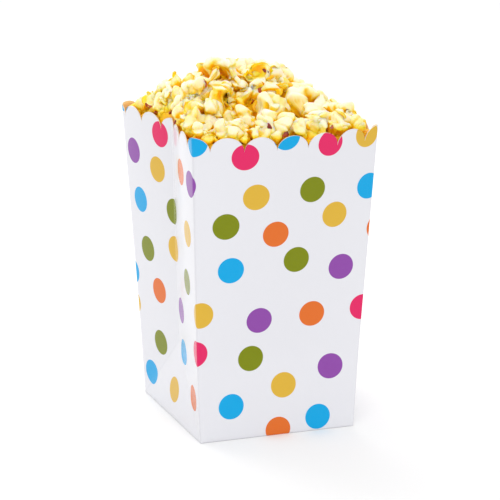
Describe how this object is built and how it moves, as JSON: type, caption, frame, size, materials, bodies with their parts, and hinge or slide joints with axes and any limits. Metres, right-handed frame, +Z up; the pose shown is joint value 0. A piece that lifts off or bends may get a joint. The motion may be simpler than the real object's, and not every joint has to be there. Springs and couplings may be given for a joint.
{
  "type": "folded paper popcorn carton filled with popcorn",
  "caption": "Square folded paper carton with a scalloped rim, pleated sides and coloured dots, heaped with buttered popcorn.",
  "frame": {"origin": "middle of the base, on the surface that the carton stands on", "axes": "+Z up, -Y towards the front panel, +X to the right of someone who faces the front panel"},
  "size_m": [0.0987, 0.1072, 0.1752],
  "materials": {
    "printed_board": "gloss coated, white with coloured dots",
    "popcorn": "matt, buttered"
  },
  "bodies": {
    "root": {"carton": "printed_board", "popcorn": "popcorn"}
  },
  "joints": []
}
